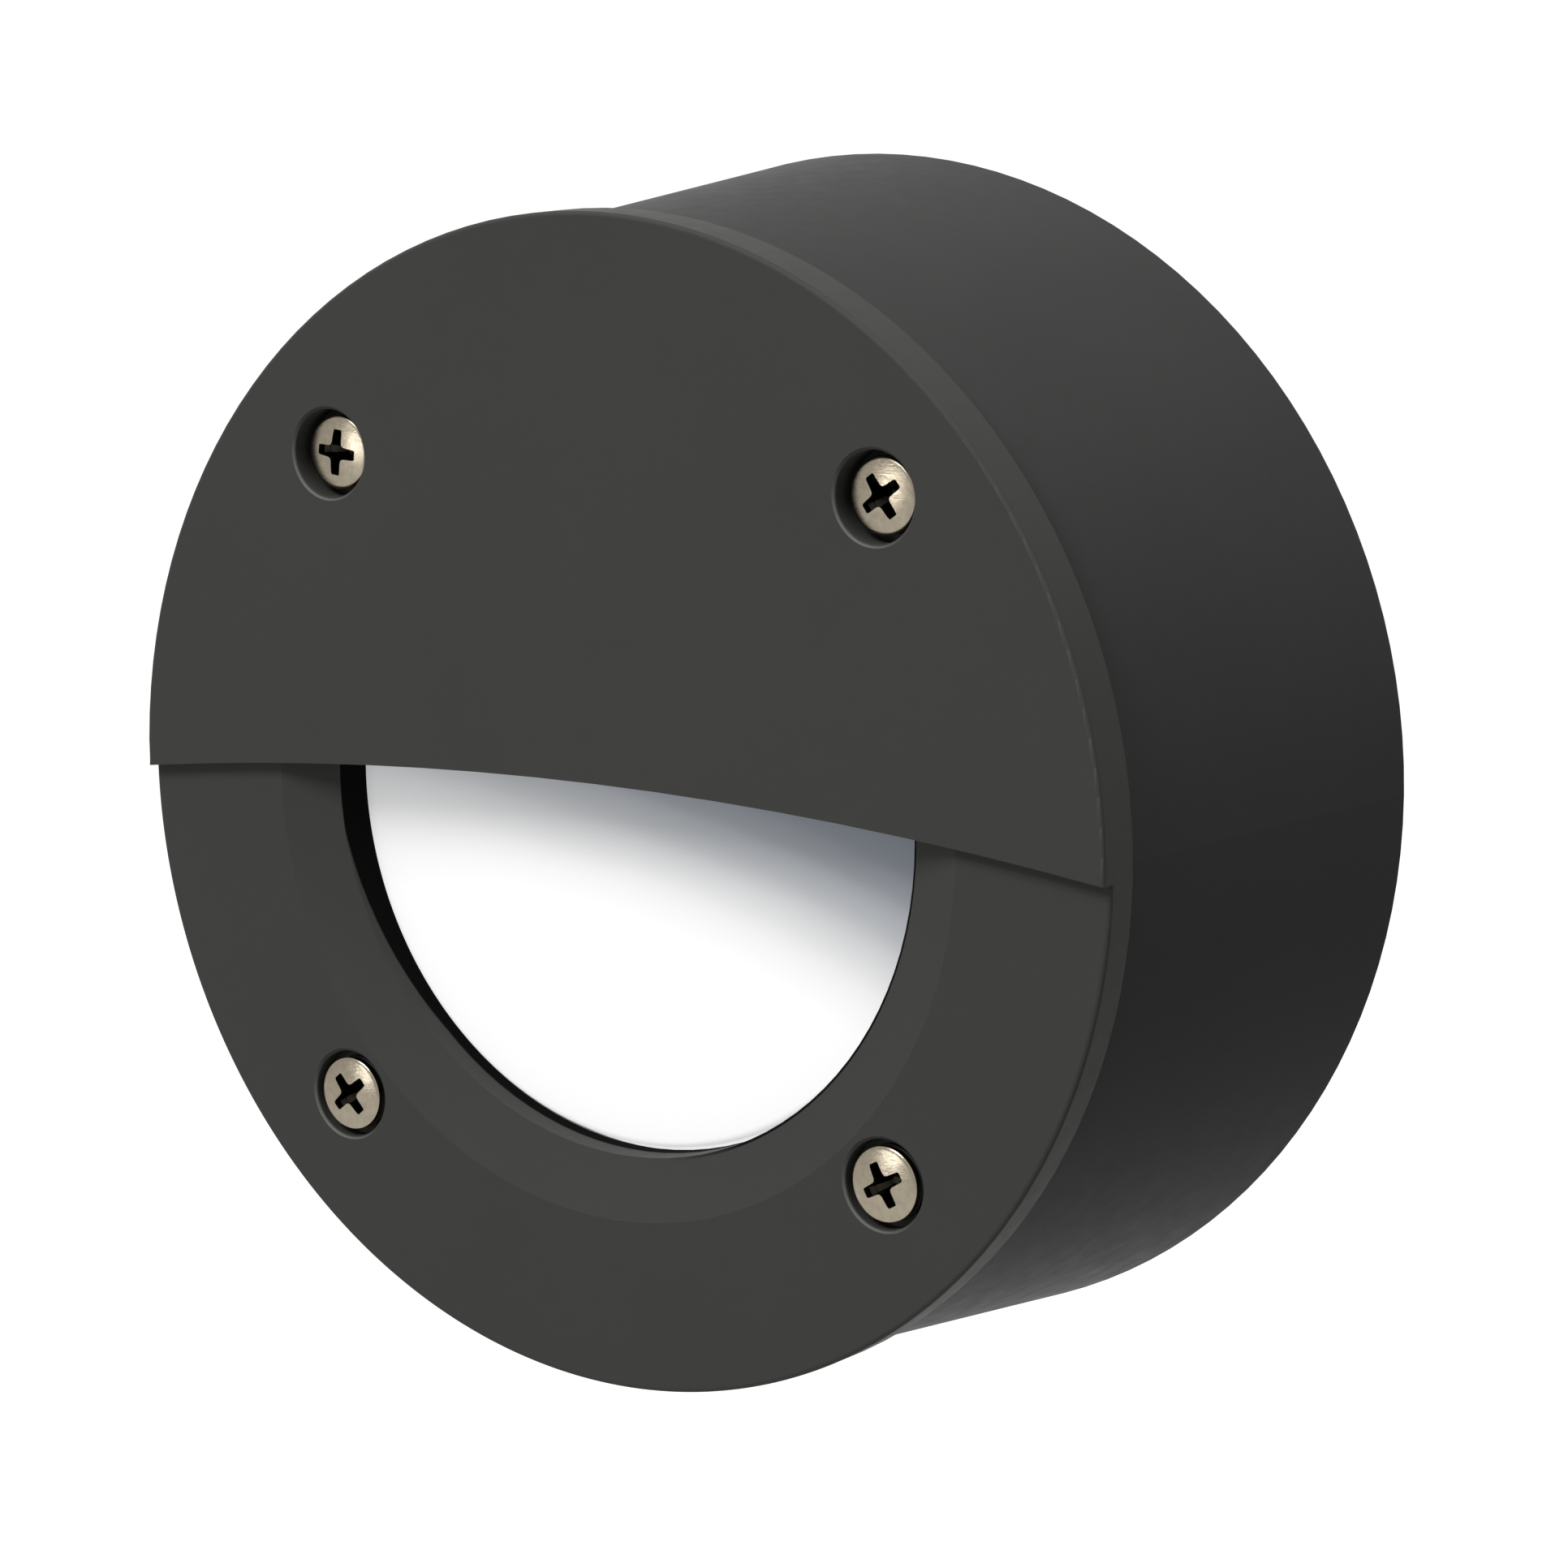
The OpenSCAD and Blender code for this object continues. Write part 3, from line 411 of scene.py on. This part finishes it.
MOULDINGS = {
    "dark_resin": ((0.0400, 0.0403, 0.0395), 0.42, 0.25, 1700.0, 0.12, 0.011),
    "dark_resin_face": ((0.0505, 0.0505, 0.0475), 0.50, 0.25, 1700.0, 0.08, 0.05),
    "foam": ((0.03, 0.03, 0.03), 0.9, 0.9, 1100.0, 0.5, 0.2),
    "seal_rubber": ((0.018, 0.018, 0.018), 0.6, 0.15, 900.0, 0.2, 0.4),
    "grey_rubber": ((0.16, 0.16, 0.16), 0.55, 0.15, 900.0, 0.15, 0.4),
    "pale_resin": ((0.66, 0.65, 0.60), 0.42, 0.15, 1500.0, 0.05, 0.5, 0.1),
    "white_resin": ((0.78, 0.77, 0.73), 0.38, 0.12, 1500.0, 0.05, 0.5, 0.1),
    "brown_insulation": ((0.13, 0.05, 0.022), 0.35, 0.1, 800.0, 0.1, 0.5),
    "blue_insulation": ((0.03, 0.11, 0.36), 0.35, 0.1, 800.0, 0.1, 0.5),
    "lamp_resin": ((0.80, 0.80, 0.78), 0.3, 0.08, 1500.0, 0.04, 0.5, 0.1),
    "board_white": ((0.74, 0.76, 0.77), 0.25, 0.05, 1500.0, 0.05, 0.5),
    "lamp_opal": ((0.86, 0.86, 0.84), 0.35, 0.05, 1200.0, 0.03, 0.5, 0.3),
}

# Metals by slot: colour, roughness, depth of the scratches, size of the mottling

METALS = {
    "brass": ((0.72, 0.50, 0.20), 0.28, 0.2, 900.0),
    "spring_bronze": ((0.66, 0.38, 0.19), 0.3, 0.2, 900.0),
    "zinc_steel": ((0.60, 0.61, 0.62), 0.34, 0.2, 900.0),
    "nickel_pins": ((0.66, 0.65, 0.62), 0.2, 0.1, 900.0),
    "stainless": ((0.26, 0.227, 0.173), 0.19, 0.35, 1100.0),
}

FINISHES = {"opal_lens": opal_lens()}
for slot_name, values in MOULDINGS.items():
    FINISHES[slot_name] = moulding(slot_name, *values)
for slot_name, values in METALS.items():
    FINISHES[slot_name] = metal(slot_name, *values)
# The face plate gets painted shade and highlights, the screw heads painted shade in their recesses
shade(FINISHES["dark_resin_face"], shade_of_face, dull=True)
shade(FINISHES["stainless"], shade_in_recess)

for part in frame["record"]["subparts"]:
    cad_mesh = frame["nodes"][part["node"]].data
    cad_mesh.materials.clear()
    cad_mesh.materials.append(FINISHES[part["material_slot"]])


# Small builders for the pieces

def only_select(piece):
    bpy.ops.object.select_all(action="DESELECT")
    piece.select_set(True)
    bpy.context.view_layer.objects.active = piece


def piece_from(name, mesh):
    """New piece at the origin that holds the given points, edges and faces."""
    bpy.ops.object.select_all(action="DESELECT")
    bpy.ops.mesh.primitive_circle_add(vertices=3, radius=0.001, location=(0, 0, 0))
    piece = bpy.context.active_object
    piece.name = name
    mesh.to_mesh(piece.data)
    mesh.free()
    return piece


def spin_round(piece, steps, degrees, axis):
    only_select(piece)
    bpy.ops.object.mode_set(mode="EDIT")
    bpy.ops.mesh.select_all(action="SELECT")
    bpy.ops.mesh.spin(steps=steps, angle=math.radians(degrees), center=(0, 0, 0), axis=axis)
    bpy.ops.object.mode_set(mode="OBJECT")


def weld(piece):
    """Joins the points that meet, and turns all faces outwards."""
    only_select(piece)
    bpy.ops.object.mode_set(mode="EDIT")
    bpy.ops.mesh.select_all(action="SELECT")
    bpy.ops.mesh.remove_doubles(threshold=WELD)
    bpy.ops.mesh.normals_make_consistent(inside=False)
    bpy.ops.object.mode_set(mode="OBJECT")


def finish_mesh(piece, slot, angle):
    weld(piece)
    bpy.ops.object.transform_apply(location=True, rotation=True, scale=True)
    bpy.ops.object.shade_smooth_by_angle(angle=math.radians(angle))
    piece.data.materials.clear()
    piece.data.materials.append(FINISHES[slot])


# Face screws

HEAD_RADIUS = 0.00398
HEAD_HEIGHT = 0.0024
HEAD_SIDE = 0.42 * HEAD_HEIGHT
HEAD_CROWN = 0.16 * HEAD_HEIGHT
HEAD_FOOT = 0.00015
HEAD_ROUNDING = 0.0001
CROWN_STEPS = 14
SHANK_RADIUS = 0.002
THREAD_PITCH = 0.0007
THREAD_DEPTH = 0.00032
THREAD_CREST = (0.30, 0.42)
THREAD_ROOT = 0.72
THREAD_START = 0.0004
THREAD_END = 0.0012
TIP_CHAMFER = 0.0003
NECK_HEIGHT = 0.0006
NECK_FLARE = 0.0002
SCREW_SIDES = 72
RECESS_TOP = SCREW_HEAD_SEAT + 0.58 * HEAD_HEIGHT + 0.0003
WING_CORNERS = ((0.00074, 0.00074), (0.0010, 0.00063), (0.0022, 0.00056), (0.00242, 0.00046))
WINGS = 4
WING_FOOT = 0.45
RECESS_RINGS = ((1.05, 0.0), (0.97, 0.0013), (0.55, 0.0022), (0.22, 0.0030))
SOFT_EDGE = 0.00008
SOFT_EDGE_ANGLE = 50
SCREW_SMOOTH_ANGLE = 35


def threaded_profile():
    """Half section of a screw lying along z, from its tip to the crown of its head."""
    crest, core = SHANK_RADIUS, SHANK_RADIUS - THREAD_DEPTH
    points = [(0.0, SCREW_TIP), (core - TIP_CHAMFER, SCREW_TIP), (core, SCREW_TIP + TIP_CHAMFER)]
    z = SCREW_TIP + THREAD_START
    while z + THREAD_PITCH < SCREW_HEAD_SEAT - THREAD_END:
        points.append((core, z))
        points += [(crest, z + share * THREAD_PITCH) for share in THREAD_CREST]
        points.append((core, z + THREAD_ROOT * THREAD_PITCH))
        z += THREAD_PITCH
    points += [(core, SCREW_HEAD_SEAT - NECK_HEIGHT), (core + NECK_FLARE, SCREW_HEAD_SEAT)]
    points += [(HEAD_RADIUS - HEAD_FOOT, SCREW_HEAD_SEAT), (HEAD_RADIUS, SCREW_HEAD_SEAT + HEAD_FOOT)]
    points.append((HEAD_RADIUS, SCREW_HEAD_SEAT + HEAD_SIDE - HEAD_ROUNDING))
    flat = HEAD_RADIUS - HEAD_ROUNDING
    for step in range(CROWN_STEPS + 1):
        out = flat * (1 - step / CROWN_STEPS)
        points.append((out, SCREW_HEAD_SEAT + HEAD_SIDE + HEAD_CROWN * (1 - (out / flat) ** 2)))
    return points


def recess_cutter():
    """Cross recess: four wings that narrow and run up outwards, round a tapered middle."""
    mesh = bmesh.new()
    outline = []
    for wing in range(WINGS):
        turn = math.radians(FULL_TURN / WINGS * wing)
        outline += [(radius, -half, turn) for radius, half in WING_CORNERS]
        outline += [(radius, half, turn) for radius, half in reversed(WING_CORNERS[1:])]
    rings = []
    for scale, depth in RECESS_RINGS:
        ring = []
        for radius, across, turn in outline:
            x = radius * scale
            y = across * (WING_FOOT + (1 - WING_FOOT) * scale)
            ring.append(mesh.verts.new((x * math.cos(turn) - y * math.sin(turn),
                x * math.sin(turn) + y * math.cos(turn), RECESS_TOP - depth)))
        rings.append(ring)
    for above, below in zip(rings, rings[1:]):
        count = len(above)
        for k in range(count):
            mesh.faces.new((above[k], below[k], below[(k + 1) % count], above[(k + 1) % count]))
    mesh.faces.new(rings[0])
    mesh.faces.new(list(reversed(rings[-1])))
    bmesh.ops.recalc_face_normals(mesh, faces=mesh.faces)
    return piece_from("recess_cutter", mesh)


def model_face_screw():
    mesh = bmesh.new()
    corners = [mesh.verts.new((x, 0, z)) for x, z in threaded_profile()]
    for first, second in zip(corners, corners[1:]):
        mesh.edges.new((first, second))
    screw = piece_from("pan_head_screw", mesh)
    spin_round(screw, SCREW_SIDES, FULL_TURN, (0, 0, 1))
    weld(screw)
    cutter = recess_cutter()
    cut = screw.modifiers.new("recess", "BOOLEAN")
    cut.operation = "DIFFERENCE"
    cut.solver = "EXACT"
    cut.object = cutter
    soften = screw.modifiers.new("soften", "BEVEL")
    soften.width = SOFT_EDGE
    soften.segments = 2
    soften.limit_method = "ANGLE"
    soften.angle_limit = math.radians(SOFT_EDGE_ANGLE)
    only_select(screw)
    for modifier in list(screw.modifiers):
        bpy.ops.object.modifier_apply(modifier=modifier.name)
    bpy.data.objects.remove(cutter)
    return screw


def place_face_screws():
    pattern = model_face_screw()
    towards_viewer = Matrix.Rotation(math.radians(QUARTER_TURN), 4, "X")
    for corner, (x, z, turn) in SCREW_PLACES.items():
        screw = pattern.copy()
        screw.data = pattern.data.copy()
        screw.name = "pan_head_screw_" + corner
        bpy.context.collection.objects.link(screw)
        turned = Matrix.Rotation(math.radians(turn), 4, "Z")
        screw.data.transform(Matrix.Translation((x, 0, z)) @ towards_viewer @ turned)
        finish_mesh(screw, "stainless", SCREW_SMOOTH_ANGLE)
        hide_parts("screw_" + corner)
        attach(screw, "screw_" + corner)
    bpy.data.objects.remove(pattern)


place_face_screws()


# Fine quarter-round bead in the rounded rim of the face plate's lower half

BEAD_START = 0.7
BEAD_SWEEP = -178.6
BEAD_STEPS = 240
BEAD_CORNERS = 12
BEAD_SMOOTH_ANGLE = 50


def model_rim_bead():
    core = Vector((RIM_RADIUS - RIM_EDGE, -(LOW_FACE - RIM_EDGE), 0))
    start = Matrix.Rotation(math.radians(BEAD_START), 4, "Y")
    mesh = bmesh.new()
    corners = [mesh.verts.new(start @ core)]
    for step in range(BEAD_CORNERS + 1):
        turn = math.radians(QUARTER_TURN * step / BEAD_CORNERS)
        outwards = Vector((math.cos(turn), -math.sin(turn), 0))
        corners.append(mesh.verts.new(start @ (core + outwards * RIM_EDGE)))
    mesh.faces.new(corners)
    bead = piece_from("rim_bead", mesh)
    spin_round(bead, BEAD_STEPS, BEAD_SWEEP, (0, 1, 0))
    finish_mesh(bead, "dark_resin_face", BEAD_SMOOTH_ANGLE)
    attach(bead, "cover")


model_rim_bead()


# Leads between the terminal block and the lampholder: slot, row, slack at each end, angle at the holder

LEADS = {
    "lead_brown": ("brown_insulation", 0.004, 0.009, 0.008, -67.0),
    "lead_blue": ("blue_insulation", -0.004, 0.013, 0.013, -57.0),
}
LEAD_RADIUS = 0.0011
LEAD_ROUNDNESS = 6
LEAD_STEPS = 30
LEAD_GRIP = 0.0025
LEAD_SMOOTH_ANGLE = 50
BLOCK_END = (0.019, -0.049, 0.0116)
HOLDER_RADIUS = 0.037
HOLDER_HEIGHT = 0.017


def lead_route(row, out, into, angle):
    """Middle line of a lead, from inside its clamp to inside its hole in the lampholder."""
    across, down, height = BLOCK_END
    start = Vector((across, down + row, height))
    ray = Vector((math.cos(math.radians(angle)), math.sin(math.radians(angle)), 0))
    rise = Vector((0, 0, HOLDER_HEIGHT))
    end = ray * HOLDER_RADIUS + rise
    first = start + Vector((out, 0, 0))
    second = ray * (HOLDER_RADIUS + into) + rise
    points = [start - Vector((LEAD_GRIP, 0, 0))]
    for step in range(LEAD_STEPS + 1):
        t = step / LEAD_STEPS
        from_start = start * (1 - t) ** 3 + first * 3 * t * (1 - t) ** 2
        points.append(from_start + second * 3 * t * t * (1 - t) + end * t ** 3)
    points.append(ray * (HOLDER_RADIUS - LEAD_GRIP) + rise)
    return [Vector((p.x, -p.z, p.y)) for p in points]


def make_lead(name, slot, row, out, into, angle):
    curve = bpy.data.curves.new(name, "CURVE")
    curve.dimensions = "3D"
    curve.bevel_depth = LEAD_RADIUS
    curve.bevel_resolution = LEAD_ROUNDNESS
    curve.use_fill_caps = True
    spline = curve.splines.new("POLY")
    route = lead_route(row, out, into, angle)
    spline.points.add(len(route) - 1)
    for point, place in zip(spline.points, route):
        point.co = (*place, 1.0)
    lead = bpy.data.objects.new(name + "_insulation", curve)
    bpy.context.collection.objects.link(lead)
    only_select(lead)
    bpy.ops.object.convert(target="MESH")
    lead = bpy.context.active_object
    finish_mesh(lead, slot, LEAD_SMOOTH_ANGLE)
    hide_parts(name)
    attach(lead, "housing")


for lead_name, lead_values in LEADS.items():
    make_lead(lead_name, *lead_values)


# Floor and white surroundings

FLOOR_SIDE = 24.0
FLOOR_DROP = -0.34
FLOOR_GREY = (0.42, 0.42, 0.42, 1.0)
FLOOR_GLOW = 0.9
WHITE = (1.0, 1.0, 1.0, 1.0)
SURROUNDING_LIGHT = 0.27


def plain_floor():
    bpy.ops.object.select_all(action="DESELECT")
    bpy.ops.mesh.primitive_plane_add(size=FLOOR_SIDE, location=(0, 0, FLOOR_DROP))
    floor = bpy.context.active_object
    floor.name = "floor"
    made, tree, shader = material("floor_white")
    set_sockets(shader, {"Base Color": FLOOR_GREY, "Roughness": 0.9, "Specular IOR Level": 0.1,
        "Emission Color": WHITE})
    tree.links.new(multiply(tree, seen_directly(tree), FLOOR_GLOW), shader.inputs["Emission Strength"])
    floor.data.materials.append(made)


def white_world():
    world = bpy.data.worlds.new("studio")
    bpy.context.scene.world = world
    world.use_nodes = True
    tree = world.node_tree
    background = tree.nodes["Background"].inputs
    background["Color"].default_value = WHITE
    level = math_node(tree, "MAXIMUM", seen_directly(tree), SURROUNDING_LIGHT)
    tree.links.new(level, background["Strength"])


# Square lamps: place, aim, side and power in watts

LAMPS = {
    "key_softbox": ((-0.15, -0.95, 0.95), (0, -0.03, 0), 0.5, 12.2),
    "top_softbox": ((0.33, 0.0, 1.05), (0, -0.03, 0), 0.5, 8.3),
    "glint_softbox": ((-0.53, -1.16, 0.01), (0, -0.05, 0), 0.12, 1.4),
}


def studio_lamps():
    for name, (place, aim, side, power) in LAMPS.items():
        light = bpy.data.lights.new(name, "AREA")
        light.shape = "SQUARE"
        light.size = side
        light.energy = power
        made = bpy.data.objects.new(name, light)
        made.location = place
        made.rotation_euler = (Vector(aim) - Vector(place)).to_track_quat("-Z", "Y").to_euler()
        bpy.context.collection.objects.link(made)


# Camera fitted to the outline in the photo

CAMERA_AZIMUTH = 35.8947
CAMERA_ELEVATION = 10.137
CAMERA_ROLL = -0.4153
CAMERA_AIM = (0, -0.03125, 0)
CAMERA_DISTANCE = 0.57373
CAMERA_SHIFT = (0.032353, -0.004719)
CAMERA_CLIP = (0.01, 50.0)
SENSOR_WIDTH = 36.0
FOCAL_PIXELS = 6534.31
PHOTO_PIXELS = 1932


def photo_camera():
    azimuth, elevation = math.radians(CAMERA_AZIMUTH), math.radians(CAMERA_ELEVATION)
    roll = math.radians(CAMERA_ROLL)
    back = Vector((math.sin(azimuth) * math.cos(elevation), -math.cos(azimuth) * math.cos(elevation),
        math.sin(elevation)))
    right = (-back).cross(Vector((0, 0, 1))).normalized()
    up = right.cross(-back)
    turned_right = right * math.cos(roll) + up * math.sin(roll)
    turned_up = up * math.cos(roll) - right * math.sin(roll)
    place = Vector(CAMERA_AIM) + back * CAMERA_DISTANCE
    lens = bpy.data.cameras.new("photo_camera")
    lens.sensor_width = SENSOR_WIDTH
    lens.lens = FOCAL_PIXELS / PHOTO_PIXELS * SENSOR_WIDTH
    lens.shift_x, lens.shift_y = CAMERA_SHIFT
    lens.clip_start, lens.clip_end = CAMERA_CLIP
    camera = bpy.data.objects.new("photo_camera", lens)
    camera.matrix_world = Matrix((
        (turned_right.x, turned_up.x, back.x, place.x),
        (turned_right.y, turned_up.y, back.y, place.y),
        (turned_right.z, turned_up.z, back.z, place.z),
        (0, 0, 0, 1)))
    bpy.context.collection.objects.link(camera)
    bpy.context.scene.camera = camera


plain_floor()
white_world()
studio_lamps()
photo_camera()
bpy.context.scene.view_settings.view_transform = "Standard"
